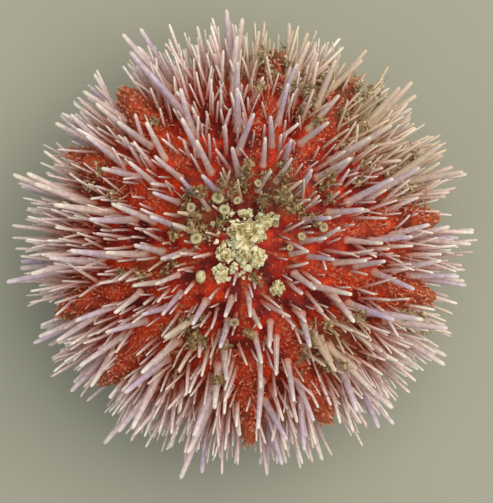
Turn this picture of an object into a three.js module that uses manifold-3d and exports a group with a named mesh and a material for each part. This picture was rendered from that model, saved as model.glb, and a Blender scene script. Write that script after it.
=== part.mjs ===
// A whole sea urchin, mouth down on its lowest spines, with shell grit on its crown.
// Millimetres, +Z up. The origin is on the ground, under the middle of the animal.

import * as THREE from 'three';
import { mergeVertices } from 'three/addons/utils/BufferGeometryUtils.js';
import Module from 'manifold-3d';

const wasm = await Module();
wasm.setup();

// ---- The shell: a dome over a flatter belly, both superellipses ----
const SHELL_RADIUS = 27.5;
const CROWN_RISE = 19.5; // from the widest level up to the apex
const BELLY_DROP = 13.5; // from the widest level down to the belly
const GROUND_GAP = 4.5; // the spines hold the belly this far off the ground
const GROUND_SPAN = 110; // wider than the spines reach
const CROWN_POWER = 2.1; // 2 is an ellipse, more is squarer
const BELLY_POWER = 2.5;
const WIDEST_LEVEL = GROUND_GAP + BELLY_DROP;
const SHELL_SEGMENTS = 30;
const SHELL_RINGS = 13;
const PENTAGON = 0.008; // how far the five ray fields stand out, as a share of the radius
const MERIDIAN_STEPS = 720; // steps of the table of lengths along the meridian

// ---- The mouth, in the middle of the belly ----
const MOUTH_RADIUS = 8.5;
const MOUTH_DEPTH = 1.6;
const TOOTH_COUNT = 5;
const TOOTH_LENGTH = 3.4;
const TOOTH_RADIUS = 1.1;
const TOOTH_POINT_RADIUS = 0.275;
const TOOTH_RING = 1.3; // distance of each tooth from the middle of the mouth
const TOOTH_SINK = 1.2;
const TOOTH_SIDES = 5;
const LIP_RADIUS = 2.2; // the fleshy cone that the teeth stand in
const LIP_LENGTH = 2.85;
const LIP_POINT_RADIUS = 0.55;
const LIP_SIDES = 10;

// ---- The spines: two columns in each of ten fields ----
const RAYS = 5;
const RAY_TURN = -4; // degrees from +X to the first ray field
const RAY_COLUMN = 6.5; // degrees from the middle of a ray field to its columns
const BETWEEN_COLUMN = 10.5; // the same for the wider fields between the rays
const FIRST_ROW = 7; // along the meridian from the apex
const LAST_ROW_GAP = 12.5; // left free round the middle of the mouth
const ROW_PITCH_POLE = 3;
const ROW_PITCH_WIDEST = 4.4;
const SPINE_SHORTEST = 6;
const SPINE_LONGEST = 11;
const LONGEST_AT = 0.42; // share of the meridian where the spines are longest
const LENGTH_SPREAD = 0.24;
const SPINE_BASE_RADIUS = 0.9;
const SPINE_TIP_RADIUS = 0.3;
const SHORT_SPINE_THICKNESS = 0.7; // of the shortest spines, against the longest
const RAY_SPINE_SCALE = 0.85; // spines of the ray fields against the others
const SPINE_SIDES = 4;
const SPINE_SINK = 0.7; // how far a spine's foot goes into the shell
const CROWN_LEAN = 24; // degrees that spines near the apex lean outwards
const LENGTH_WOBBLE = 0.12;
const LEAN_WOBBLE = 7; // degrees
const SWAY_WOBBLE = 13; // degrees to either side
const PLACE_WOBBLE = 0.6;
const SPREAD_SEED = 3946;

// ---- Shell grit held on the crown ----
const CLEARANCE = 0.3;
const GRIT_DETAIL = 1;
const GRIT_ROUGHNESS = 0.16;
const GRIT_WAVES = [3.1, 3.7, 4.3]; // radians of the lumps' waves along X, Y and Z
const GRIT_WAVE_SHIFTS = [2, -1, 0]; // radians that they shift from one piece to the next
const GRIT_SPINE_ROOM = 0.8; // spines part this far round a piece of grit
// Middle, size, turn about Z in degrees, and how far the piece is lifted off the shell.
const GRIT = [
  { name: 'grit_upper', x: 0.5, y: 1.7, size: [6.4, 4.2, 3.6], turn: -24, lift: 1.3 },
  { name: 'grit_middle', x: 0.1, y: -0.9, size: [3.1, 3.2, 3.2], turn: 10, lift: 1.2 },
  { name: 'grit_left', x: -2.5, y: -1.1, size: [3.3, 3.5, 2.8], turn: 30, lift: 0.9 },
  { name: 'grit_right', x: 2.2, y: -1.9, size: [2.5, 4.0, 2.6], turn: -16, lift: 0.8 },
  { name: 'grit_lobe', x: 3.7, y: 3.5, size: [4.3, 3.1, 2.8], turn: 12, lift: 1.0 },
  { name: 'grit_chip', x: 0.4, y: 4.6, size: [2.5, 2.3, 2.3], turn: 20, lift: 0.9 },
  { name: 'grit_nodule', x: -3.5, y: -4.3, size: [2.4, 3.9, 2.3], turn: -28, lift: 0.7 },
  { name: 'grit_stray_left', x: -6.4, y: -4.9, size: [1.5, 2.1, 1.7], turn: 24, lift: 1.2 },
  { name: 'grit_stray_right', x: 5.3, y: -6.6, size: [2.4, 2.6, 2.2], turn: 35, lift: 1.4 },
];

const degrees = THREE.MathUtils.degToRad;

// ---- Chance that is the same in every build: the last digits of a steep sine ----
const COLUMN_STEP = 12.9898;
const ROW_STEP = 78.233;
const USE_STEP = 37.719;
const STEEPNESS = 43758.5453;

// An even spread from -1 to 1.
function vary(column, row, use) {
  const wave = Math.sin(column * COLUMN_STEP + row * ROW_STEP + use * USE_STEP) * STEEPNESS;
  return 2 * (wave - Math.floor(wave)) - 1;
}

// ---- Solids ----
function solidOf(geometry) {
  geometry.deleteAttribute('normal');
  geometry.deleteAttribute('uv');
  const merged = mergeVertices(geometry);
  return new wasm.Manifold(new wasm.Mesh({
    numProp: 3,
    vertProperties: Float32Array.from(merged.attributes.position.array),
    triVerts: Uint32Array.from(merged.index.array),
  }));
}

function meshOf(name, solid, material) {
  const { vertProperties, triVerts } = solid.getMesh();
  const geometry = new THREE.BufferGeometry();
  geometry.setAttribute('position', new THREE.BufferAttribute(vertProperties, 3));
  geometry.setIndex(new THREE.BufferAttribute(triVerts, 1));
  geometry.computeVertexNormals();
  const mesh = new THREE.Mesh(geometry, material);
  mesh.name = name;
  return mesh;
}

// ---- The shell's meridian ----
// A point of the meridian at an angle from +90 degrees at the apex to -90 at the mouth.
// tilt is the angle of the shell's normal from straight up.
function meridianPoint(angle) {
  const crown = angle >= 0;
  const height = crown ? CROWN_RISE : BELLY_DROP;
  const power = crown ? CROWN_POWER : BELLY_POWER;
  const across = Math.pow(Math.max(Math.cos(angle), 0), 2 / power);
  const up = Math.sign(angle) * Math.pow(Math.abs(Math.sin(angle)), 2 / power);
  const normalOut = Math.pow(across, power - 1) / SHELL_RADIUS;
  const normalUp = Math.sign(up) * Math.pow(Math.abs(up), power - 1) / height;
  return {
    radius: SHELL_RADIUS * across,
    level: WIDEST_LEVEL + height * up,
    tilt: Math.atan2(normalOut, normalUp),
  };
}

function measureMeridian() {
  const table = [];
  let length = 0;
  for (let step = 0; step <= MERIDIAN_STEPS; step += 1) {
    const point = meridianPoint(Math.PI * (0.5 - step / MERIDIAN_STEPS));
    const last = table[step - 1];
    if (last) length += Math.hypot(point.radius - last.radius, point.level - last.level);
    table.push({ ...point, length });
  }
  return table;
}

const meridian = measureMeridian();
const MERIDIAN_LENGTH = meridian[MERIDIAN_STEPS].length;

// The meridian's point at a length along it from the apex.
function meridianAt(length) {
  const after = Math.max(meridian.findIndex((point) => point.length >= length), 1);
  const low = meridian[after - 1];
  const high = meridian[after];
  const share = (length - low.length) / (high.length - low.length);
  const mix = (key) => THREE.MathUtils.lerp(low[key], high[key], share);
  return { radius: mix('radius'), level: mix('level'), tilt: mix('tilt') };
}

// The mouth's shallow dish, added to the level of the belly.
function mouthDish(radius) {
  return MOUTH_DEPTH * Math.max(0, 1 - (radius / MOUTH_RADIUS) ** 2);
}

// The shell swells a little along its five ray fields.
function pentagonSwell(azimuth) {
  return 1 + PENTAGON * Math.cos(RAYS * (azimuth - degrees(RAY_TURN)));
}

function shellSolid(grow = 0) {
  const outline = [];
  for (let ring = 0; ring <= SHELL_RINGS; ring += 1) {
    const point = meridianAt(MERIDIAN_LENGTH * ring / SHELL_RINGS);
    const onAxis = ring === 0 || ring === SHELL_RINGS;
    const radius = onAxis ? 0 : point.radius + grow * Math.sin(point.tilt);
    const dish = ring > SHELL_RINGS / 2 ? mouthDish(point.radius) : 0;
    outline.unshift(new THREE.Vector2(radius, point.level + dish + grow * Math.cos(point.tilt)));
  }
  const geometry = new THREE.LatheGeometry(outline, SHELL_SEGMENTS);
  geometry.rotateX(Math.PI / 2);
  const place = geometry.attributes.position;
  for (let i = 0; i < place.count; i += 1) {
    const swell = pentagonSwell(Math.atan2(place.getY(i), place.getX(i)));
    place.setXY(i, place.getX(i) * swell, place.getY(i) * swell);
  }
  return solidOf(geometry);
}

// A cone or cylinder from one point towards another.
function rodSolid(from, direction, length, baseRadius, tipRadius, sides) {
  const geometry = new THREE.CylinderGeometry(tipRadius, baseRadius, length, sides);
  geometry.translate(0, length / 2, 0);
  const up = new THREE.Vector3(0, 1, 0);
  geometry.applyQuaternion(new THREE.Quaternion().setFromUnitVectors(up, direction));
  geometry.translate(from.x, from.y, from.z);
  return solidOf(geometry);
}

// ---- The spines ----
function spineColumns() {
  const columns = [];
  for (let ray = 0; ray < RAYS; ray += 1) {
    const middle = RAY_TURN + 360 * ray / RAYS;
    const between = middle + 180 / RAYS;
    for (const side of [-1, 1]) {
      columns.push({ azimuth: middle + side * RAY_COLUMN, side, scale: RAY_SPINE_SCALE });
      columns.push({ azimuth: between + side * BETWEEN_COLUMN, side, scale: 1 });
    }
  }
  return columns;
}

function rowPitch(length) {
  const share = Math.sin(Math.PI * length / MERIDIAN_LENGTH);
  return THREE.MathUtils.lerp(ROW_PITCH_POLE, ROW_PITCH_WIDEST, share);
}

// One spine's foot, direction, length and thickness, from its place in its column.
function spineAt(column, index, row, length) {
  const chance = (use) => vary(index + SPREAD_SEED, row, use);
  const along = length + PLACE_WOBBLE * chance(1);
  const share = along / MERIDIAN_LENGTH;
  const point = meridianAt(along);
  const azimuth = degrees(column.azimuth) + PLACE_WOBBLE * chance(2) / SHELL_RADIUS;
  const radius = point.radius * pentagonSwell(azimuth);
  const foot = new THREE.Vector3(radius * Math.cos(azimuth), radius * Math.sin(azimuth), point.level);
  const crown = Math.max(0, Math.cos(point.tilt));
  const tilt = point.tilt + degrees(CROWN_LEAN * crown + LEAN_WOBBLE * chance(3));
  const heading = azimuth + degrees(SWAY_WOBBLE * chance(4)) * (1 + crown);
  const direction = new THREE.Vector3().setFromSphericalCoords(1, tilt, 0);
  direction.set(direction.z * Math.cos(heading), direction.z * Math.sin(heading), direction.y);
  const bulge = Math.exp(-(((share - LONGEST_AT) / LENGTH_SPREAD) ** 2));
  const full = THREE.MathUtils.lerp(SPINE_SHORTEST, SPINE_LONGEST, bulge);
  const grown = full * column.scale * (1 + LENGTH_WOBBLE * chance(5));
  const reach = direction.z < 0 ? Math.min(grown, foot.z / -direction.z) : grown;
  const thickness = column.scale * THREE.MathUtils.lerp(SHORT_SPINE_THICKNESS, 1, bulge);
  return { foot, direction, reach, thickness };
}

// True where a spine would pass through a piece of grit.
function meetsGrit(spine) {
  const tip = spine.foot.clone().addScaledVector(spine.direction, spine.reach);
  const rod = new THREE.Line3(spine.foot, tip);
  return GRIT.some((piece) => {
    const middle = gritMiddle(piece);
    const near = rod.closestPointToPoint(middle, true, new THREE.Vector3());
    const room = Math.max(piece.size[0], piece.size[1]) / 2 + SPINE_BASE_RADIUS + GRIT_SPINE_ROOM;
    return near.distanceTo(middle) < room;
  });
}

function allSpines() {
  const spines = [];
  spineColumns().forEach((column, index) => {
    let row = 0;
    let length = FIRST_ROW + (column.side > 0 ? ROW_PITCH_POLE / 2 : 0);
    while (length < MERIDIAN_LENGTH - LAST_ROW_GAP) {
      const spine = spineAt(column, index, row, length);
      if (!meetsGrit(spine)) spines.push(spine);
      length += rowPitch(length);
      row += 1;
    }
  });
  return spines;
}

function spineSolid(spine) {
  const from = spine.foot.clone().addScaledVector(spine.direction, -SPINE_SINK);
  const base = SPINE_BASE_RADIUS * spine.thickness;
  const tip = SPINE_TIP_RADIUS * spine.thickness;
  return rodSolid(from, spine.direction, spine.reach + SPINE_SINK, base, tip, SPINE_SIDES);
}

// ---- The teeth that close the mouth ----
function toothSolid(index) {
  const azimuth = degrees(RAY_TURN + 180 / RAYS + 360 * index / TOOTH_COUNT);
  const top = GROUND_GAP + MOUTH_DEPTH + TOOTH_SINK;
  const foot = new THREE.Vector3(TOOTH_RING * Math.cos(azimuth), TOOTH_RING * Math.sin(azimuth), top);
  const point = new THREE.Vector3(0, 0, top - TOOTH_LENGTH);
  const direction = point.clone().sub(foot).normalize();
  return rodSolid(foot, direction, TOOTH_LENGTH, TOOTH_RADIUS, TOOTH_POINT_RADIUS, TOOTH_SIDES);
}

// The cone of soft lip between the teeth.
function lipSolid() {
  const top = new THREE.Vector3(0, 0, GROUND_GAP + MOUTH_DEPTH + TOOTH_SINK);
  const down = new THREE.Vector3(0, 0, -1);
  return rodSolid(top, down, LIP_LENGTH, LIP_RADIUS, LIP_POINT_RADIUS, LIP_SIDES);
}

function urchinSolid() {
  let urchin = shellSolid().add(lipSolid());
  for (const spine of allSpines()) urchin = urchin.add(spineSolid(spine));
  for (let index = 0; index < TOOTH_COUNT; index += 1) urchin = urchin.add(toothSolid(index));
  const ground = new THREE.BoxGeometry(GROUND_SPAN, GROUND_SPAN, GROUND_GAP);
  ground.translate(0, 0, -GROUND_GAP / 2);
  return urchin.subtract(solidOf(ground));
}

// ---- The grit ----
function gritMiddle(piece) {
  const radius = Math.hypot(piece.x, piece.y);
  const crown = meridian.find((point) => point.radius >= radius);
  return new THREE.Vector3(piece.x, piece.y, crown.level + piece.lift);
}

// A rough lump. grow swells it, to cut its neighbours back from it.
function lumpSolid(piece, index, grow = 0) {
  const geometry = new THREE.IcosahedronGeometry(1, GRIT_DETAIL);
  const place = geometry.attributes.position;
  const point = new THREE.Vector3();
  for (let i = 0; i < place.count; i += 1) {
    point.fromBufferAttribute(place, i);
    const waves = GRIT_WAVES.map((wave, axis) => (
      Math.sin(wave * point.getComponent(axis) + GRIT_WAVE_SHIFTS[axis] * index)
    ));
    const push = (waves[0] + waves[1] + waves[2]) / waves.length;
    point.multiplyScalar(1 + GRIT_ROUGHNESS * push);
    point.set(...piece.size.map((size, axis) => point.getComponent(axis) * (size / 2 + grow)));
    place.setXYZ(i, point.x, point.y, point.z);
  }
  geometry.rotateZ(degrees(piece.turn));
  const middle = gritMiddle(piece);
  geometry.translate(middle.x, middle.y, middle.z);
  return solidOf(geometry);
}

// Each lump is cut back from the shell and from the lumps before it.
function gritSolid(index) {
  let lump = lumpSolid(GRIT[index], index).subtract(shellSolid(CLEARANCE));
  for (let earlier = 0; earlier < index; earlier += 1) {
    lump = lump.subtract(lumpSolid(GRIT[earlier], earlier, CLEARANCE));
  }
  return lump;
}

// ---- Finishes ----
const skin = new THREE.MeshStandardMaterial({ color: 0xa8402c, roughness: 0.45, metalness: 0 });
const shellGrit = new THREE.MeshStandardMaterial({ color: 0xcdb98c, roughness: 0.85, metalness: 0 });

const seaUrchin = new THREE.Group();
seaUrchin.add(meshOf('urchin', urchinSolid(), skin));
GRIT.forEach((piece, index) => seaUrchin.add(meshOf(piece.name, gritSolid(index), shellGrit)));

export default seaUrchin;
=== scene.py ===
"""A whole sea urchin, mouth down on its lowest spines, with shell grit held on its crown.

Every length is in metres, +Z is up, and the origin is on the ground under the animal. The shell's outline
and the large spines are worked out by the same rules as the solid model, so each piece stands where its
solid does.
"""

import logging
import math
from dataclasses import dataclass, field
from enum import Enum, IntEnum
from itertools import pairwise
from typing import Sequence

import bpy
import numpy as np
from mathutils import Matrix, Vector, kdtree, noise


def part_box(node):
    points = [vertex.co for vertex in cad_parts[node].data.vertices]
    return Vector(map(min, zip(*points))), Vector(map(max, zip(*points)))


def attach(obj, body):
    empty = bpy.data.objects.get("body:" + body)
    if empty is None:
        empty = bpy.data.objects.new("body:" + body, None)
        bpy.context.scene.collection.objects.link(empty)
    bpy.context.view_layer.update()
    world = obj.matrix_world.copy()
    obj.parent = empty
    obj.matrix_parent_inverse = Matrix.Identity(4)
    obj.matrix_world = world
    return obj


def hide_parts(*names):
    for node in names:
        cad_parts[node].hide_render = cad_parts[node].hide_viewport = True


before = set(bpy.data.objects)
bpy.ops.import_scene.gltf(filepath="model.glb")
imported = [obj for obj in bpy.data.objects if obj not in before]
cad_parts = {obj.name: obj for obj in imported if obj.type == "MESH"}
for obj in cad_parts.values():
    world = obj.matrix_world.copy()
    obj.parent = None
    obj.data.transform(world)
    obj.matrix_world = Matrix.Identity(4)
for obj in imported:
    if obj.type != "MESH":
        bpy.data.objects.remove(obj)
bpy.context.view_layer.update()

MM = 0.001
NEARLY_NOTHING = 1e-6
BODY = "root"
SKIN_SLOT = "urchin_skin"
GRIT_SLOT = "shell_grit"
WRAP = "wrap"  # the map of a rod: round it in u, from its foot to its tip in v
CHANCE = "chance"  # one value from 0 to 1 for each copy of a small shape
SILT = "silt"  # how much fine sediment clings here, from 0 to 1
SPIN_TURNS = 7  # turns about its own axis that a chance value of 1 gives a copy
DEALT_CHANCE = (0.1, 0.9)  # first and last chance value of copies that get theirs in order
CRUMB_LUMPS = 3.2  # how closely the lumps of a crumb lie
VARY_STEPS = (12.9898, 78.233, 37.719)  # the same as the solid model's, so that the spines agree
VARY_SCALE = 43758.5453

log = logging.getLogger("sea_urchin")

Stations = Sequence[tuple[float, float]]


# ---- Helpers for numbers and places ----


def bell(value: np.ndarray | float, middle: float, width: float) -> np.ndarray | float:
    """Give 1 at the middle, and less the further a value is from it."""
    return np.exp(-(((value - middle) / width) ** 2))


def towards(tilt: np.ndarray, heading: np.ndarray) -> np.ndarray:
    """Turn angles from straight up, and angles from +X seen from above, into unit directions."""
    return np.stack([np.sin(tilt) * np.cos(heading), np.sin(tilt) * np.sin(heading), np.cos(tilt)], axis=-1)


def any_way(count: int, chance: np.random.Generator) -> np.ndarray:
    """Draw unit directions that point any way."""
    return towards(np.arccos(chance.uniform(-1, 1, count)), chance.uniform(0, math.tau, count))


def mostly_small(smallest: float, largest: float, count: int, chance: np.random.Generator) -> np.ndarray:
    """Draw sizes between two limits, more of them small than large."""
    return smallest + (largest - smallest) * chance.random(count) ** 2


def vary(column: float, row: float, use: float) -> float:
    """Give an even spread from -1 to 1 that three numbers pick, the same in every build."""
    first, second, third = VARY_STEPS
    wave = math.sin(column * first + row * second + use * third) * VARY_SCALE
    return 2 * (wave - math.floor(wave)) - 1


def nearest(points: np.ndarray, marks: np.ndarray) -> np.ndarray:
    """Measure how far each point is from the mark nearest to it.

    Args:
        points: One point in each row.
        marks: One mark in each row.

    Returns:
        One distance for each point.
    """
    tree = kdtree.KDTree(len(marks))
    for index, mark in enumerate(marks):
        tree.insert(Vector(mark), index)
    tree.balance()
    return np.array([tree.find(Vector(point))[2] for point in points])


def in_grit(points: np.ndarray, room: float, axes: int) -> np.ndarray:
    """Say which points are in the box of a piece of grit.

    Args:
        points: One point in each row.
        room: How far past a box still counts.
        axes: 3, or 2 to leave the heights out.

    Returns:
        True for each point that is in a box.
    """
    caught = np.zeros(len(points), dtype=bool)
    for name in sorted(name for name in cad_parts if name.startswith("grit_")):
        low, high = (np.array(corner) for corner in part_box(name))
        caught |= ((points > low - room) & (points < high + room))[:, :axes].all(axis=1)
    return caught


# ---- Helpers for meshes ----


def clear_selection() -> None:
    """Leave nothing selected, so that an operator acts on the new piece alone."""
    bpy.ops.object.select_all(action="DESELECT")


def coordinates(mesh: bpy.types.Mesh) -> np.ndarray:
    """Read a mesh's points, one in each row."""
    flat = np.zeros(len(mesh.vertices) * 3)
    mesh.vertices.foreach_get("co", flat)
    return flat.reshape(-1, 3)


def set_coordinates(mesh: bpy.types.Mesh, points: np.ndarray) -> None:
    """Write a mesh's points back."""
    mesh.vertices.foreach_set("co", points.ravel())
    mesh.update()


def set_value(mesh: bpy.types.Mesh, name: str, values: np.ndarray) -> None:
    """Store one number for each point under a name that a finish reads."""
    mesh.attributes.new(name, "FLOAT", "POINT").data.foreach_set("value", values)


def turned_rod(name: str, sides: int, stations: Stations) -> bpy.types.Mesh:
    """Model one rod of unit length by extruding a ring upwards, ring by ring, and closing its tip.

    Args:
        name: The mesh's name.
        sides: How many sides the ring has.
        stations: Height and radius of each ring, from the foot at 0 to the tip at 1.

    Returns:
        The rod's mesh, with its wrap map.
    """
    clear_selection()
    low, wide = stations[0]
    bpy.ops.mesh.primitive_circle_add(vertices=sides, radius=wide, fill_type="NOTHING", location=(0, 0, low))
    rod = bpy.context.object
    bpy.ops.object.mode_set(mode="EDIT")
    bpy.ops.mesh.select_all(action="SELECT")
    for (low, wide), (high, narrow) in pairwise(stations):
        bpy.ops.mesh.extrude_region_move(TRANSFORM_OT_translate={"value": (0, 0, high - low)})
        share = narrow / wide
        bpy.ops.transform.resize(value=(share, share, 1), center_override=(0, 0, high))
    bpy.ops.mesh.edge_face_add()
    bpy.ops.mesh.poke()
    bpy.ops.mesh.select_all(action="SELECT")
    bpy.ops.mesh.normals_make_consistent(inside=False)
    bpy.ops.object.mode_set(mode="OBJECT")
    bpy.ops.object.transform_apply(location=True)
    mesh = rod.data
    mesh.name = name
    bpy.data.objects.remove(rod)
    wrap_rod(mesh)
    return mesh


def crumb_shape(name: str, rough: float, shift: float) -> bpy.types.Mesh:
    """Model one crumb: a small ball pushed out of round, on its foot like a rod.

    Args:
        name: The mesh's name.
        rough: How far it is pushed out of round.
        shift: Picks its shape.

    Returns:
        The crumb's mesh, of unit height and unit radius, with its wrap map.
    """
    half = 0.5
    clear_selection()
    bpy.ops.mesh.primitive_ico_sphere_add(subdivisions=1, radius=half)
    ball = bpy.context.object
    mesh = ball.data
    points = coordinates(mesh)
    lumps = [noise.noise(Vector(point) * CRUMB_LUMPS + Vector((shift, 0, 0))) for point in points]
    points *= 1 + rough * np.array(lumps)[:, None]
    points[:, :2] /= half
    points[:, 2] += half
    set_coordinates(mesh, points)
    mesh.name = name
    bpy.data.objects.remove(ball)
    wrap_rod(mesh)
    return mesh


def wrap_rod(mesh: bpy.types.Mesh) -> None:
    """Lay the wrap map on a rod of unit length along +Z, with no face folded across the seam."""
    layer = mesh.uv_layers.new(name=WRAP)
    for face in mesh.polygons:
        middle = math.atan2(face.center.y, face.center.x)
        for loop in face.loop_indices:
            point = mesh.vertices[mesh.loops[loop].vertex_index].co
            on_axis = math.hypot(point.x, point.y) < NEARLY_NOTHING
            turn = 0.0 if on_axis else math.remainder(math.atan2(point.y, point.x) - middle, math.tau)
            layer.data[loop].uv = ((middle + turn) / math.tau + 0.5, point.z)


@dataclass
class Places:
    """Where the copies of one small shape stand: one row, or one number, for each copy."""

    feet: np.ndarray
    directions: np.ndarray
    lengths: np.ndarray
    radii: np.ndarray
    chance: np.ndarray
    silt: np.ndarray
    bends: np.ndarray | None = None

    def kept(self, keep: np.ndarray) -> "Places":
        """Pick the copies that are marked True."""
        rows = (self.feet, self.directions, self.lengths, self.radii, self.chance, self.silt)
        bends = None if self.bends is None else self.bends[keep]
        return Places(*(row[keep] for row in rows), bends)

    def at(self, share: float) -> np.ndarray:
        """Give the point a share of the way up each copy."""
        return self.feet + self.directions * (self.lengths * share)[:, None]


def side_axes(directions: np.ndarray) -> tuple[np.ndarray, np.ndarray]:
    """Find two axes square to each unit direction, which turn right-handed with it."""
    steep = 0.9
    spare = np.where(np.abs(directions[:, 2:]) < steep, [[0.0, 0.0, 1.0]], [[1.0, 0.0, 0.0]])
    first = np.cross(spare, directions)
    first /= np.linalg.norm(first, axis=1, keepdims=True)
    return first, np.cross(directions, first)


def joined_copies(name: str, unit: bpy.types.Mesh, places: Places, smooth: bool = True) -> bpy.types.Object:
    """Join one copy of a small shape for each place into a single mesh.

    Args:
        name: The piece's name.
        unit: The shape, of unit length along +Z and with radii in parts of one.
        places: Where the copies stand.
        smooth: Whether its faces are shaded as one curve.

    Returns:
        The piece, with its wrap map and its chance and silt values.
    """
    count = len(places.lengths)
    shape = coordinates(unit)
    first, second = side_axes(places.directions)
    spin = places.chance * math.tau * SPIN_TURNS
    across = shape[None, :, 0] * np.cos(spin)[:, None] - shape[None, :, 1] * np.sin(spin)[:, None]
    along = shape[None, :, 0] * np.sin(spin)[:, None] + shape[None, :, 1] * np.cos(spin)[:, None]
    wide = places.radii[:, None]
    points = places.feet[:, None, :] + first[:, None, :] * (across * wide)[..., None]
    points += second[:, None, :] * (along * wide)[..., None]
    points += places.directions[:, None, :] * (shape[None, :, 2] * places.lengths[:, None])[..., None]
    if places.bends is not None:
        points += places.bends[:, None, :] * (shape[None, :, 2, None] ** 2)
    points[..., 2] = np.maximum(points[..., 2], 0)
    corners = np.array([loop.vertex_index for loop in unit.loops])
    starts = np.array([face.loop_start for face in unit.polygons])
    wraps = np.zeros(len(corners) * 2)
    unit.uv_layers[WRAP].data.foreach_get("uv", wraps)
    step = np.arange(count)[:, None]
    mesh = bpy.data.meshes.new(name)
    mesh.vertices.add(count * len(shape))
    mesh.loops.add(count * len(corners))
    mesh.polygons.add(count * len(starts))
    mesh.vertices.foreach_set("co", points.ravel())
    mesh.loops.foreach_set("vertex_index", (corners[None, :] + step * len(shape)).ravel())
    mesh.polygons.foreach_set("loop_start", (starts[None, :] + step * len(corners)).ravel())
    mesh.polygons.foreach_set("use_smooth", np.full(count * len(starts), smooth))
    mesh.uv_layers.new(name=WRAP).data.foreach_set("uv", np.tile(wraps, count))
    set_value(mesh, CHANCE, np.repeat(places.chance, len(shape)))
    set_value(mesh, SILT, np.repeat(places.silt, len(shape)))
    mesh.update(calc_edges=True)
    mesh.validate()
    piece = bpy.data.objects.new(name, mesh)
    bpy.context.collection.objects.link(piece)
    return piece


def settle(piece: bpy.types.Object, material: bpy.types.Material, slot: str, *nodes: str) -> None:
    """Dress a finished piece, let it ride with the animal and hide the solids that it replaces.

    Args:
        piece: The finished piece.
        material: Its finish.
        slot: The name of a material slot; not used.
        nodes: The names of the solids that it replaces.
    """
    piece.data.materials.clear()
    piece.data.materials.append(material)
    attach(piece, BODY)
    if nodes:
        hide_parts(*nodes)
    log.info("%s: %d faces", piece.name, len(piece.data.polygons))


# ---- Finishes ----


def linear(code: str) -> tuple[float, float, float, float]:
    """Turn an sRGB hex code into linear red, green and blue, and an alpha of 1."""
    channels = [int(code[place : place + 2], 16) / 255 for place in (1, 3, 5)]
    lit = [value / 12.92 if value <= 0.04045 else ((value + 0.055) / 1.055) ** 2.4 for value in channels]
    return (*lit, 1.0)


def add_node(
    tree: bpy.types.NodeTree, kind: str, inputs: dict, out: int | str = 0, **settings: object
) -> bpy.types.NodeSocket:
    """Add a node with its settings and links.

    Args:
        tree: The material's node tree.
        kind: The node's type.
        inputs: What each input gets, by number or name: a socket to link, a value, or a hex code.
        out: The number or name of the output wanted.
        settings: The node's own properties. "stops" fills a ramp with pairs of place and hex code.

    Returns:
        The output wanted.
    """
    node = tree.nodes.new(kind)
    for key, value in settings.items():
        if key == "stops":
            ramp = node.color_ramp.elements
            while len(ramp) < len(value):
                ramp.new(1.0)
            for element, (place, code) in zip(ramp, value):
                element.position = place
                element.color = linear(code)
        else:
            setattr(node, key, value)
    for key, source in inputs.items():
        if isinstance(source, bpy.types.NodeSocket):
            tree.links.new(source, node.inputs[key])
        else:
            node.inputs[key].default_value = linear(source) if isinstance(source, str) else source
    return node.outputs[out]


class Mix(IntEnum):
    """Numbers of the sockets of a Mix node that mixes colours."""

    FACTOR = 0
    FIRST = 6
    SECOND = 7
    RESULT = 2


class Blend(Enum):
    """How one colour goes over another."""

    COVER = "MIX"
    TINT = "MULTIPLY"


@dataclass
class Pattern:
    """What a finish's own nodes give: its first colour, the layers over it and the inputs of its relief."""

    colour: bpy.types.NodeSocket | str
    layers: Sequence[tuple[bpy.types.NodeSocket | float, bpy.types.NodeSocket | str, Blend]]
    relief: dict


@dataclass(frozen=True)
class Finish:
    """What every finish shares: its name and the even values of its surface."""

    name: str
    roughness: float = 0.4
    ior: float = 1.5
    specular: float = 0.5
    coat: float = 0.0
    coat_roughness: float = 0.12
    glow_through: float = 0.0  # weight of the light that spreads under the surface
    glow_depth: float = 0.6 * MM
    sunk: bool = False  # whether the relief goes down where its height is greatest

    def material(self) -> bpy.types.Material:
        """Make the material and its shader, and let the finish colour it."""
        material = bpy.data.materials.new(self.name)
        material.use_nodes = True
        tree = material.node_tree
        shader = tree.nodes["Principled BSDF"]
        values = {
            "Roughness": self.roughness,
            "IOR": self.ior,
            "Specular IOR Level": self.specular,
            "Coat Weight": self.coat,
            "Coat Roughness": self.coat_roughness,
            "Subsurface Weight": self.glow_through,
            "Subsurface Scale": self.glow_depth,
        }
        for socket, value in values.items():
            shader.inputs[socket].default_value = value
        pattern = self.pattern(tree)
        colour = pattern.colour
        for share, over, blend in pattern.layers:
            colour = add_node(
                tree, "ShaderNodeMix", {Mix.FACTOR: share, Mix.FIRST: colour, Mix.SECOND: over}, Mix.RESULT,
                data_type="RGBA", blend_type=blend.value,
            )
        tree.links.new(colour, shader.inputs["Base Color"])
        if pattern.relief:
            normal = add_node(tree, "ShaderNodeBump", pattern.relief, invert=self.sunk)
            tree.links.new(normal, shader.inputs["Normal"])
        return material

    def pattern(self, tree: bpy.types.NodeTree) -> Pattern:
        """Build the nodes of the finish's own pattern."""
        raise NotImplementedError


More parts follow.
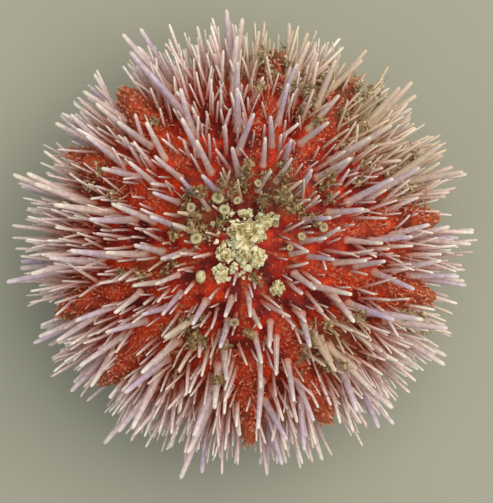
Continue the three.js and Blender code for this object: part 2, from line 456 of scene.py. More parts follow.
@dataclass(frozen=True)
class RodFinish(Finish):
    """Anything slim that grows from the shell: coloured from its foot to its tip, in two sorts."""

    first_sort: Sequence[tuple[float, str]] = ()
    second_sort: Sequence[tuple[float, str]] = ()
    silt_colour: str = "#CDB792"
    rib_count: int = 0
    rib_depth: float = 0.05 * MM
    grain: float = 0.5 * MM

    def pattern(self, tree: bpy.types.NodeTree) -> Pattern:
        """Build the two sorts, their mottling, the silt on them and their ribs or grain."""
        wrap = add_node(tree, "ShaderNodeUVMap", {}, "UV", uv_map=WRAP)
        along = add_node(tree, "ShaderNodeSeparateXYZ", {0: wrap}, "Y")
        chance = add_node(tree, "ShaderNodeAttribute", {}, "Fac", attribute_name=CHANCE)
        silt = add_node(tree, "ShaderNodeAttribute", {}, "Fac", attribute_name=SILT)
        place = add_node(tree, "ShaderNodeTexCoord", {}, "Object")
        grain = add_node(
            tree, "ShaderNodeTexNoise", {"Vector": place, "Scale": 1 / self.grain, "Detail": 3.0}, "Fac"
        )
        first = add_node(tree, "ShaderNodeValToRGB", {0: along}, stops=self.first_sort)
        second = add_node(tree, "ShaderNodeValToRGB", {0: along}, stops=self.second_sort)
        mottle = add_node(
            tree, "ShaderNodeMapRange",
            {"Value": grain, "From Min": 0.35, "From Max": 0.65, "To Min": 0.82, "To Max": 1.12},
        )
        cling = add_node(tree, "ShaderNodeMath", {0: silt, 1: grain}, operation="MULTIPLY")
        cling = add_node(
            tree, "ShaderNodeMapRange", {"Value": cling, "From Min": 0.14, "From Max": 0.42, "To Max": 0.8}
        )
        layers = (
            (chance, second, Blend.COVER),
            (1.0, mottle, Blend.TINT),
            (cling, self.silt_colour, Blend.COVER),
        )
        relief = grain
        if self.rib_count:
            around = add_node(tree, "ShaderNodeSeparateXYZ", {0: wrap}, "X")
            turn = add_node(
                tree, "ShaderNodeMath", {0: around, 1: math.tau * self.rib_count}, operation="MULTIPLY"
            )
            relief = add_node(tree, "ShaderNodeMath", {0: turn}, operation="SINE")
        return Pattern(first, layers, {"Height": relief, "Strength": 0.5, "Distance": self.rib_depth})


@dataclass(frozen=True)
class WetSkin(Finish):
    """Living skin over limy shell: wet, deep red and granular, brightest along the rows of tube feet."""

    dark: str = "#5A0D07"
    middle: str = "#9C1E0A"
    bright: str = "#D63C0A"
    velvet: str = "#BA3A18"
    velvet_dot: str = "#D08058"
    rim: str = "#C47850"
    pale: str = "#C98A78"
    grime: str = "#5E452F"
    patch: float = 3.5 * MM
    granule: float = 0.55 * MM
    granule_depth: float = 0.12 * MM
    dot: float = 0.7 * MM  # size of the pale dots of the drawn-in tube feet
    sunk: bool = True

    def pattern(self, tree: bpy.types.NodeTree) -> Pattern:
        """Build the skin's blotches, its bright rows, its granules with painted light on their tops and
        painted shade between them, and the grime on it.
        """
        place = add_node(tree, "ShaderNodeTexCoord", {}, "Object")
        patches = add_node(
            tree, "ShaderNodeTexNoise", {"Vector": place, "Scale": 1 / self.patch, "Detail": 4.0}, "Fac"
        )
        stops = ((0.38, self.dark), (0.5, self.middle), (0.66, self.bright))
        base = add_node(tree, "ShaderNodeValToRGB", {0: patches}, stops=stops)
        dotted = add_node(
            tree, "ShaderNodeTexNoise", {"Vector": place, "Scale": 1 / self.dot, "Detail": 2.0}, "Fac"
        )
        dotted = add_node(
            tree, "ShaderNodeMapRange", {"Value": dotted, "From Min": 0.5, "From Max": 0.68, "To Max": 0.8}
        )
        velvet = add_node(
            tree, "ShaderNodeMix",
            {Mix.FACTOR: dotted, Mix.FIRST: self.velvet, Mix.SECOND: self.velvet_dot},
            Mix.RESULT, data_type="RGBA",
        )
        pore, rim, under, silt = (
            add_node(tree, "ShaderNodeAttribute", {}, "Fac", attribute_name=name)
            for name in ("pore", "rim", "under", SILT)
        )
        cells = add_node(
            tree, "ShaderNodeTexVoronoi", {"Vector": place, "Scale": 1 / self.granule}, "Distance"
        )
        # Painted light and shade: each granule's top is brightened and the grooves between granules are
        # darkened, following the relief.
        granule_painted_shading = add_node(
            tree, "ShaderNodeMapRange",
            {"Value": cells, "From Min": 0.0, "From Max": 0.7, "To Min": 1.25, "To Max": 0.6},
        )
        grime = add_node(tree, "ShaderNodeMath", {0: silt, 1: patches}, operation="MULTIPLY")
        grime = add_node(
            tree, "ShaderNodeMapRange", {"Value": grime, "From Min": 0.2, "From Max": 0.5, "To Max": 0.8}
        )
        layers = (
            (pore, velvet, Blend.COVER),
            (rim, self.rim, Blend.COVER),
            (under, self.pale, Blend.COVER),
            (1.0, granule_painted_shading, Blend.TINT),
            (grime, self.grime, Blend.COVER),
        )
        return Pattern(base, layers, {"Height": cells, "Strength": 0.4, "Distance": self.granule_depth})


@dataclass(frozen=True)
class BrokenShell(Finish):
    """Broken sea shell and sand: dry-looking cream lime with brown in its pits, the crevices darkened by
    painted shade and the crests lightened by painted highlights.
    """

    # The pit colour is also painted shade in the crevices, and the crest colours are also painted highlights
    # on the crests.
    pit: str = "#5C4826"
    middle: str = "#A8925E"
    crest: str = "#E8DEB8"
    second_crest: str = "#CED2AC"
    lump: float = 1.1 * MM
    crest_patch: float = 2.75 * MM  # size of the patches of the one crest colour or the other
    grain: float = 0.3 * MM
    grain_depth: float = 0.12 * MM

    def pattern(self, tree: bpy.types.NodeTree) -> Pattern:
        """Build the mottled lime, in two sorts, and its pits, with painted shade in the crevices and painted
        highlights on the crests.
        """
        place = add_node(tree, "ShaderNodeTexCoord", {}, "Object")
        coarse = add_node(
            tree, "ShaderNodeTexNoise",
            {"Vector": place, "Scale": 1 / self.lump, "Detail": 6.0, "Roughness": 0.65}, "Fac",
        )
        fine = add_node(
            tree, "ShaderNodeTexNoise", {"Vector": place, "Scale": 1 / self.grain, "Detail": 2.0}, "Fac"
        )
        point = add_node(tree, "ShaderNodeNewGeometry", {}, "Pointiness")
        # Painted shade and highlight: Pointiness pushes concave crevices towards the dark pit colour and
        # convex crests towards the bright crest colours.
        painted_relief_shade_tone = add_node(
            tree, "ShaderNodeMapRange",
            {"Value": point, "From Min": 0.42, "From Max": 0.58, "To Min": -0.25, "To Max": 0.25},
        )
        painted_relief_shade_tone = add_node(tree, "ShaderNodeMath", {0: coarse, 1: painted_relief_shade_tone}, operation="ADD")
        broad = add_node(
            tree, "ShaderNodeTexNoise", {"Vector": place, "Scale": 1 / self.crest_patch, "Detail": 1.0}, "Fac"
        )
        choice = add_node(tree, "ShaderNodeMapRange", {"Value": broad, "From Min": 0.42, "From Max": 0.58})
        stops = ((0.34, self.pit), (0.5, self.middle))
        first, second = (
            add_node(tree, "ShaderNodeValToRGB", {0: painted_relief_shade_tone}, stops=(*stops, (0.66, crest)))
            for crest in (self.crest, self.second_crest)
        )
        relief = {"Height": fine, "Strength": 0.7, "Distance": self.grain_depth}
        return Pattern(first, [(choice, second, Blend.COVER)], relief)


@dataclass(frozen=True)
class FineSilt(Finish):
    """Sea-bed silt bound with slime: dull olive and tan crumbs."""

    dark: str = "#6A563C"
    middle: str = "#A8926C"
    light: str = "#DCCAA8"
    crown_tint: str = "#D4C6AA"
    crown_level: float = 36 * MM
    rim_level: float = 27 * MM
    grain: float = 0.6 * MM
    grain_depth: float = 0.1 * MM

    def pattern(self, tree: bpy.types.NodeTree) -> Pattern:
        """Build the crumbs' mottling and the tint that they get towards the crown."""
        place = add_node(tree, "ShaderNodeTexCoord", {}, "Object")
        chance = add_node(tree, "ShaderNodeAttribute", {}, "Fac", attribute_name=CHANCE)
        grain = add_node(
            tree, "ShaderNodeTexNoise", {"Vector": place, "Scale": 1 / self.grain, "Detail": 4.0}, "Fac"
        )
        total = add_node(tree, "ShaderNodeMath", {0: chance, 1: 0.5, 2: grain}, operation="MULTIPLY_ADD")
        stops = ((0.45, self.dark), (0.75, self.middle), (1.0, self.light))
        colour = add_node(tree, "ShaderNodeValToRGB", {0: total}, stops=stops)
        level = add_node(tree, "ShaderNodeSeparateXYZ", {0: place}, "Z")
        high = add_node(
            tree, "ShaderNodeMapRange",
            {"Value": level, "From Min": self.rim_level, "From Max": self.crown_level},
        )
        relief = {"Height": grain, "Strength": 0.5, "Distance": self.grain_depth}
        return Pattern(colour, [(high, self.crown_tint, Blend.TINT)], relief)


@dataclass(frozen=True)
class TrayFloor(Finish):
    """A pale moulded plastic tray under the animal, with the faintest mottling."""

    first: str = "#8A8B7C"
    second: str = "#9B9C89"
    cloud: float = 60 * MM

    def pattern(self, tree: bpy.types.NodeTree) -> Pattern:
        """Build the faint clouds."""
        place = add_node(tree, "ShaderNodeTexCoord", {}, "Object")
        clouds = add_node(tree, "ShaderNodeTexNoise", {"Vector": place, "Scale": 1 / self.cloud}, "Fac")
        return Pattern(self.first, [(clouds, self.second, Blend.COVER)], {})


def spine_lime() -> RodFinish:
    """Calcite of a large spine: pearly and finely ribbed, lilac or pale, in a salmon collar of muscle."""
    return RodFinish(
        "ribbed_spine_lime",
        roughness=0.38,
        ior=1.52,
        glow_through=0.12,
        first_sort=(
            (0.0, "#AE3A20"), (0.06, "#CC846A"), (0.15, "#CEAA9C"), (0.5, "#C9AEA5"), (0.8, "#D5C3BA"),
            (1.0, "#EEE4D0"),
        ),
        second_sort=(
            (0.0, "#AE3A20"), (0.06, "#C47E68"), (0.15, "#BF9F98"), (0.5, "#B29CAC"), (0.8, "#B6A2BC"),
            (1.0, "#D6C8D0"),
        ),
        rib_count=10,
        grain=0.8 * MM,
    )


def small_spine_lime() -> RodFinish:
    """Calcite of a small spine: pinkish ivory with a bright tip, some of them dull mauve."""
    return RodFinish(
        "small_spine_lime",
        roughness=0.32,
        coat=0.2,
        ior=1.52,
        glow_through=0.12,
        first_sort=(
            (0.0, "#A83418"), (0.15, "#BE6048"), (0.35, "#DCA898"), (0.65, "#EED8CE"), (1.0, "#FCF6EA"),
        ),
        second_sort=(
            (0.0, "#A83418"), (0.15, "#B05C48"), (0.35, "#B07C72"), (0.65, "#BC9C9A"), (1.0, "#DCC6BA"),
        ),
        rib_count=6,
        rib_depth=0.03 * MM,
    )


def fine_spine_lime() -> RodFinish:
    """Calcite of the finest spines, with red skin up most of their length."""
    return RodFinish(
        "fine_spine_lime",
        roughness=0.4,
        ior=1.52,
        first_sort=((0.0, "#A82812"), (0.45, "#BE4E36"), (0.8, "#D08470"), (1.0, "#E8BCA8")),
        second_sort=((0.0, "#9A2210"), (0.45, "#AC4029"), (0.8, "#BC6C54"), (1.0, "#CF9680")),
    )


def sucker_skin() -> RodFinish:
    """Skin of a sucker: a pink stalk, and a cream or tan disc with a dark dimple."""
    return RodFinish(
        "sucker_skin",
        roughness=0.4,
        ior=1.4,
        glow_through=0.15,
        first_sort=(
            (0.0, "#A83C24"), (0.7, "#B47058"), (0.955, "#6E6E44"), (0.975, "#A0966A"), (1.0, "#BEB286"),
        ),
        second_sort=(
            (0.0, "#A83C24"), (0.7, "#B47058"), (0.955, "#6C5640"), (0.975, "#8A6E52"), (1.0, "#A48C70"),
        ),
        grain=0.4 * MM,
    )


def foot_muscle() -> RodFinish:
    """Muscle of a tube foot: wet, soft and translucent, brick red on the crown and tan towards the rim."""
    return RodFinish(
        "tube_foot_muscle",
        roughness=0.3,
        ior=1.4,
        glow_through=0.2,
        first_sort=((0.0, "#AA2A12"), (0.5, "#BA4022"), (1.0, "#C4603E")),
        second_sort=((0.0, "#B8482C"), (0.45, "#C66C48"), (0.8, "#D08E6C"), (1.0, "#D8A886")),
    )


# ---- The shell, and where silt lies on it ----


@dataclass
class Shell:
    """The shell's shape: a dome over a flatter belly, both superellipses."""

    radius: float = 27.5 * MM
    crown_rise: float = 19.5 * MM
    belly_drop: float = 13.5 * MM
    ground_gap: float = 4.5 * MM
    crown_power: float = 2.1
    belly_power: float = 2.5
    pentagon: float = 0.008  # how far it swells at each ray field, as a share of its radius
    rays: int = 5
    ray_turn: float = -4  # degrees from +X to the first ray field
    pore_offset: float = 12  # degrees from the middle of a ray field to each of its two pore rows
    ridge_height: float = 4.2 * MM  # of the drawn-in tube feet that fill a pore row
    ridge_width: float = 4.2  # degrees
    ridge_middle: float = 0.48  # share of the outline where the ridge is highest
    ridge_length: float = 0.13  # share of the outline over which it falls away
    mouth_radius: float = 8.5 * MM
    mouth_depth: float = 1.6 * MM
    steps: int = 720  # of the table of the outline
    stray: float = 0.42  # of scattered places, as a share of the distance between neighbours
    table: np.ndarray = field(init=False)  # length from the apex, radius, level and tilt of the normal

    def __post_init__(self) -> None:
        """Measure the outline once."""
        angle = math.pi * (0.5 - np.arange(self.steps + 1) / self.steps)
        crown = angle >= 0
        height = np.where(crown, self.crown_rise, self.belly_drop)
        power = np.where(crown, self.crown_power, self.belly_power)
        across = np.maximum(np.cos(angle), 0) ** (2 / power)
        up = np.sign(angle) * np.abs(np.sin(angle)) ** (2 / power)
        out = across ** (power - 1) / self.radius
        rise = np.sign(up) * np.abs(up) ** (power - 1) / height
        radius = self.radius * across
        level = self.widest_level + height * up
        length = np.concatenate([[0.0], np.cumsum(np.hypot(np.diff(radius), np.diff(level)))])
        self.table = np.stack([length, radius, level, np.arctan2(out, rise)])

    @property
    def widest_level(self) -> float:
        """Height of the widest part above the ground."""
        return self.ground_gap + self.belly_drop

    @property
    def outline_length(self) -> float:
        """Length of the outline from the apex to the middle of the mouth."""
        return float(self.table[0, -1])

    def at(self, length: np.ndarray) -> tuple[np.ndarray, np.ndarray, np.ndarray]:
        """Read the radius, the level and the normal's tilt at lengths along the outline from the apex."""
        lengths, *columns = self.table
        radius, level, tilt = (np.interp(length, lengths, column) for column in columns)
        return radius, level, tilt

    def crown_level(self, across: np.ndarray) -> np.ndarray:
        """Read the level of the crown at places seen from above, one in each row."""
        lengths, radius, level, _ = self.table
        crown = lengths < self.outline_length / 2
        return np.interp(np.hypot(across[:, 0], across[:, 1]), radius[crown], level[crown])

    def ray(self, number: np.ndarray | float) -> np.ndarray | float:
        """Give the azimuth, in degrees, of the middle of a ray field."""
        return self.ray_turn + 360 / self.rays * number

    def pore(self, azimuth: np.ndarray, width: float) -> np.ndarray:
        """Say how near each azimuth is to a pore row, from 0 to 1, for rows of a width in degrees."""
        sector = 360 / self.rays
        off_ray = np.abs((np.degrees(azimuth) - self.ray_turn + sector / 2) % sector - sector / 2)
        return bell(off_ray, self.pore_offset, width)

    def ridge(self, azimuth: np.ndarray, length: np.ndarray) -> np.ndarray:
        """Work out how high the drawn-in tube feet stand over the shell at each place."""
        along = bell(length / self.outline_length, self.ridge_middle, self.ridge_length)
        return self.ridge_height * along * self.pore(azimuth, self.ridge_width)

    def points(self, azimuth: np.ndarray, length: np.ndarray) -> np.ndarray:
        """Place points on the shell.

        Args:
            azimuth: Angles from +X.
            length: Lengths along the outline from the apex.

        Returns:
            One point in each row.
        """
        radius, level, _ = self.at(length)
        swell = 1 + self.pentagon * np.cos(self.rays * (azimuth - math.radians(self.ray_turn)))
        return np.stack([radius * swell * np.cos(azimuth), radius * swell * np.sin(azimuth), level], axis=-1)

    def scatter(
        self, pitch: float, start: float, end: float, chance: np.random.Generator
    ) -> tuple[np.ndarray, np.ndarray]:
        """Spread places evenly over a band of the shell, each shaken a little.

        Args:
            pitch: Distance between neighbours.
            start: Where the band starts, along the outline from the apex.
            end: Where it ends.
            chance: The source of the shaking.

        Returns:
            The azimuths and the lengths along the outline.
        """
        fewest = 3
        azimuths, lengths = [], []
        for row in np.arange(start, end, pitch):
            radius = float(self.at(row)[0])
            around = max(fewest, round(math.tau * radius / pitch))
            shaken = chance.uniform(-self.stray, self.stray, (2, around))
            azimuths.append((np.arange(around) + shaken[0] + chance.random()) * math.tau / around)
            lengths.append(row + shaken[1] * pitch)
        return np.concatenate(azimuths), np.concatenate(lengths)


@dataclass(frozen=True)
class SiltPatch:
    """A place, seen from above, where sediment has gathered."""

    x: float
    y: float
    reach: float
    strength: float


@dataclass(frozen=True)
class SiltCover:
    """How the sediment lies over the animal, seen from above."""

    patches: tuple[SiltPatch, ...] = (
        SiltPatch(19 * MM, 23 * MM, 11 * MM, 0.9),
        SiltPatch(27 * MM, 13 * MM, 8 * MM, 0.75),
        SiltPatch(5 * MM, 31 * MM, 8 * MM, 0.8),
        SiltPatch(-7 * MM, 4 * MM, 4.5 * MM, 0.85),
        SiltPatch(-1 * MM, 10 * MM, 3.5 * MM, 0.9),
        SiltPatch(5.5 * MM, 8 * MM, 4.5 * MM, 0.95),
        SiltPatch(12 * MM, 9 * MM, 4 * MM, 0.6),
        SiltPatch(-15 * MM, -4 * MM, 4 * MM, 0.6),
        SiltPatch(-8.5 * MM, -14 * MM, 3.5 * MM, 0.8),
        SiltPatch(-10.5 * MM, -19 * MM, 3 * MM, 0.7),
        SiltPatch(-12 * MM, -2 * MM, 5 * MM, 0.5),
        SiltPatch(-3 * MM, -17 * MM, 4.5 * MM, 0.6),
        SiltPatch(14 * MM, -16 * MM, 6 * MM, 0.85),
        SiltPatch(30 * MM, -12 * MM, 7 * MM, 0.5),
        SiltPatch(-27 * MM, 13 * MM, 7 * MM, 0.35),
    )
    everywhere: float = 0.08
    lowest: float = 8 * MM  # none clings below this level
    fade: float = 8 * MM

    def at(self, points: np.ndarray) -> np.ndarray:
        """Read the cover at points, one in each row, as values from 0 to 1."""
        cover = np.full(len(points), self.everywhere)
        for patch in self.patches:
            off = np.hypot(points[:, 0] - patch.x, points[:, 1] - patch.y)
            cover = np.maximum(cover, patch.strength * bell(off, 0, patch.reach))
        return cover * np.clip((points[:, 2] - self.lowest) / self.fade, 0, 1)


# ---- Spines ----


@dataclass
class LargeSpines:
    """The large spines: two columns in each of the ten fields, exactly where their solids stand."""

    shell: Shell
    silt: SiltCover
    ray_column: float = 6.5  # degrees from the middle of a ray field
    between_column: float = 10.5  # degrees from the middle of the field between two rays
    first_row: float = 7 * MM
    last_row_gap: float = 12.5 * MM
    pitch_pole: float = 3 * MM
    pitch_widest: float = 4.4 * MM
    shortest: float = 6 * MM
    longest: float = 11 * MM
    longest_at: float = 0.42  # share of the outline
    length_spread: float = 0.24  # share of the outline
    base_radius: float = 0.76 * MM
    short_thickness: float = 0.7  # of the shortest spines, against the longest
    ray_scale: float = 0.85
    crown_lean: float = 24  # degrees outwards at the apex
    length_wobble: float = 0.12
    lean_wobble: float = 7  # degrees
    sway_wobble: float = 13  # degrees
    place_wobble: float = 0.6 * MM
    seed: int = 3946
    solid_reach: float = 0.8 * MM  # a spine's solid ends this near to the tip worked out here
    bend: float = 0.02  # how far a tip strays from straight, as a share of the length
    sides: int = 10
    stations: Stations = (
        (0.0, 1.15), (0.045, 1.36), (0.1, 1.1), (0.15, 0.92), (0.45, 0.8), (0.75, 0.64), (0.96, 0.5),
        (1.0, 0.28),
    )

    def columns(self) -> list[tuple[float, int, float]]:
        """List the azimuth in degrees, the side and the scale of each column."""
        columns = []
        for ray in range(self.shell.rays):
            for side in (-1, 1):
                columns.append((self.shell.ray(ray) + side * self.ray_column, side, self.ray_scale))
                columns.append((self.shell.ray(ray + 0.5) + side * self.between_column, side, 1.0))
        return columns

    def pitch(self, length: float) -> float:
        """Give the distance from one spine to the next in a column."""
        share = math.sin(math.pi * length / self.shell.outline_length)
        return self.pitch_pole + (self.pitch_widest - self.pitch_pole) * share

    def spine(self, column: tuple[float, int, float], index: int, row: int, length: float) -> list[float]:
        """Work out one spine.

        Args:
            column: The column's azimuth, side and scale.
            index: The column's number.
            row: The spine's number in its column.
            length: The spine's place along the outline.

        Returns:
            Its foot, direction, length, thickness against the base radius, and chance value.
        """
        swing = [vary(index + self.seed, row, use) for use in range(7)]
        degrees, _, scale = column
        along = length + self.place_wobble * swing[1]
        azimuth = math.radians(degrees) + self.place_wobble * swing[2] / self.shell.radius
        foot = self.shell.points(np.array(azimuth), np.array(along))
        normal_tilt = float(self.shell.at(along)[2])
        crown = max(0.0, math.cos(normal_tilt))
        tilt = normal_tilt + math.radians(self.crown_lean * crown + self.lean_wobble * swing[3])
        heading = azimuth + math.radians(self.sway_wobble * swing[4]) * (1 + crown)
        direction = towards(np.array(tilt), np.array(heading))
        bulge = bell(along / self.shell.outline_length, self.longest_at, self.length_spread)
        full = self.shortest + (self.longest - self.shortest) * bulge
        reach = full * scale * (1 + self.length_wobble * swing[5])
        if direction[2] < 0:
            reach = min(reach, foot[2] / -direction[2])
        thickness = scale * (self.short_thickness + (1 - self.short_thickness) * bulge)
        return [*foot, *direction, reach, thickness, (swing[6] + 1) / 2]

    def places(self) -> Places:
        """Work out all the spines, and keep those that the solid model has."""
        rows = []
        for index, column in enumerate(self.columns()):
            length = self.first_row + (self.pitch_pole / 2 if column[1] > 0 else 0)
            row = 0
            while length < self.shell.outline_length - self.last_row_gap:
                rows.append(self.spine(column, index, row, length))
                length += self.pitch(length)
                row += 1
        table = np.array(rows)
        feet, directions, (lengths, thickness, chance) = table[:, :3], table[:, 3:6], table[:, 6:].T
        bends = np.random.default_rng(self.seed).normal(0, self.bend, feet.shape) * lengths[:, None]
        silt = self.silt.at(feet + directions * lengths[:, None] / 2)
        places = Places(feet, directions, lengths, thickness * self.base_radius, chance, silt, bends)
        solid = coordinates(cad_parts["urchin"].data)
        return places.kept(nearest(places.at(1), solid) < self.solid_reach)

    def build(self, places: Places) -> bpy.types.Object:
        """Model one spine and join a copy at each place."""
        unit = turned_rod("one_large_spine", self.sides, self.stations)
        return joined_copies("large_spines", unit, places)


@dataclass
class Coat:
    """One sort of small rod that covers the shell between the large spines."""

    name: str
    shell: Shell
    silt: SiltCover
    pitch: float
    start: float
    end_gap: float
    length_crown: float
    length_rim: float
    length_belly: float
    radius: float
    sides: int
    stations: Stations
    seed: int
    lean: float = 18  # degrees outwards at the apex
    shake: float = 7  # degrees that a rod strays at the rim
    crown_shake: float = 13  # the same near the apex
    lean_share: float = 0.6  # of the shake
    sway_share: float = 0.8  # of the shake
    length_range: tuple[float, float] = (0.72, 1.15)
    radius_range: tuple[float, float] = (0.75, 1.2)
    thin_away: float = 0.85  # radius away from the rim, against that at the rim
    clear_of_large: float = 1.0 * MM
    thin_in_pores: float = 0.0
    pore_width: float = 4.4  # degrees
    rim_at: float = 0.5  # share of the outline
    rim_share: float = 0.17  # share of the outline
    crown_dull: float = 0.6  # how far the rods away from the rim turn to the duller sort
    bend: float = 0.05  # how far a tip strays from straight, as a share of the length
    grit_room: float = 0.25 * MM
    grit_tests: tuple[float, ...] = (0.25, 0.5, 0.75, 1.0)  # shares of a rod that are kept off the grit

    def places(self, large: Places) -> Places:
        """Spread the rods over the shell, clear of the large spines.

        Args:
            large: Where the large spines stand.

        Returns:
            Where the rods stand.
        """
        chance = np.random.default_rng(self.seed)
        end = self.shell.outline_length - self.end_gap
        azimuth, length = self.shell.scatter(self.pitch, self.start, end, chance)
        feet = self.shell.points(azimuth, length)
        tilt = self.shell.at(length)[2]
        count = len(length)
        crown = np.maximum(0, np.cos(tilt))
        shake = self.shake + (self.crown_shake - self.shake) * crown
        lean = np.radians(self.lean * crown + shake * chance.normal(0, self.lean_share, count))
        sway = np.radians(shake * chance.normal(0, self.sway_share, count)) * (1 + crown)
        directions = towards(tilt + lean, azimuth + sway)
        share = length / self.shell.outline_length
        rim = bell(share, self.rim_at, self.rim_share)
        outer = np.where(share < self.rim_at, self.length_crown, self.length_belly)
        full = (outer + (self.length_rim - outer) * rim) * chance.uniform(*self.length_range, count)
        down = np.minimum(directions[:, 2], -NEARLY_NOTHING)
        full = np.where(directions[:, 2] < 0, np.minimum(full, feet[:, 2] / -down), full)
        radii = self.radius * chance.uniform(*self.radius_range, count)
        radii *= self.thin_away + (1 - self.thin_away) * rim
        bends = chance.normal(0, self.bend, (count, 3)) * full[:, None]
        dull = self.crown_dull * (1 - rim)
        sort = dull + (1 - dull) * chance.random(count)
        silt = self.silt.at(feet + directions * full[:, None] / 2)
        places = Places(feet - directions * self.radius, directions, full, radii, sort, silt, bends)
        keep = chance.random(count) > self.thin_in_pores * self.shell.pore(azimuth, self.pore_width)
        keep &= nearest(feet, large.feet) > self.clear_of_large
        for part in self.grit_tests:
            keep &= ~in_grit(places.at(part), self.grit_room, 3)
        return places.kept(keep)

    def build(self, places: Places) -> bpy.types.Object:
        """Model one rod and join a copy at each place."""
        return joined_copies(self.name, turned_rod(f"one_{self.name}", self.sides, self.stations), places)


def secondary_coat(shell: Shell, silt: SiltCover) -> Coat:
    """Size the secondary spines, which stand half as thick as the large ones between them."""
    return Coat(
        "secondary_spines", shell, silt, pitch=2.7 * MM, start=4.2 * MM, end_gap=11 * MM,
        length_crown=5.6 * MM, length_rim=9.2 * MM, length_belly=4.5 * MM, radius=0.43 * MM, sides=7,
        stations=((0.0, 1.1), (0.07, 1.2), (0.16, 0.95), (0.55, 0.78), (0.96, 0.55), (1.0, 0.3)),
        seed=5, lean=30, clear_of_large=1.3 * MM, thin_in_pores=0.95,
    )


def small_coat(shell: Shell, silt: SiltCover) -> Coat:
    """Size the small spines, which fill the gaps and are longest at the rim."""
    return Coat(
        "small_spines", shell, silt, pitch=1.9 * MM, start=3.5 * MM, end_gap=11 * MM,
        length_crown=3.2 * MM, length_rim=8.0 * MM, length_belly=3.2 * MM, radius=0.28 * MM, sides=6,
        stations=((0.0, 1.2), (0.08, 1.15), (0.2, 0.9), (0.7, 0.78), (0.95, 0.62), (1.0, 0.35)),
        seed=7, lean=28, thin_in_pores=0.9,
    )


def fine_coat(shell: Shell, silt: SiltCover) -> Coat:
    """Size the finest bristles, low in the skin between all the rest."""
    return Coat(
        "fine_spines", shell, silt, pitch=1.6 * MM, start=5 * MM, end_gap=10 * MM,
        length_crown=1.1 * MM, length_rim=3.4 * MM, length_belly=1.4 * MM, radius=0.12 * MM, sides=5,
        stations=((0.0, 1.1), (0.55, 0.85), (0.93, 0.75), (1.0, 0.35)),
        seed=8, shake=14, thin_in_pores=0.95,
    )


# ---- Tube feet and suckers ----


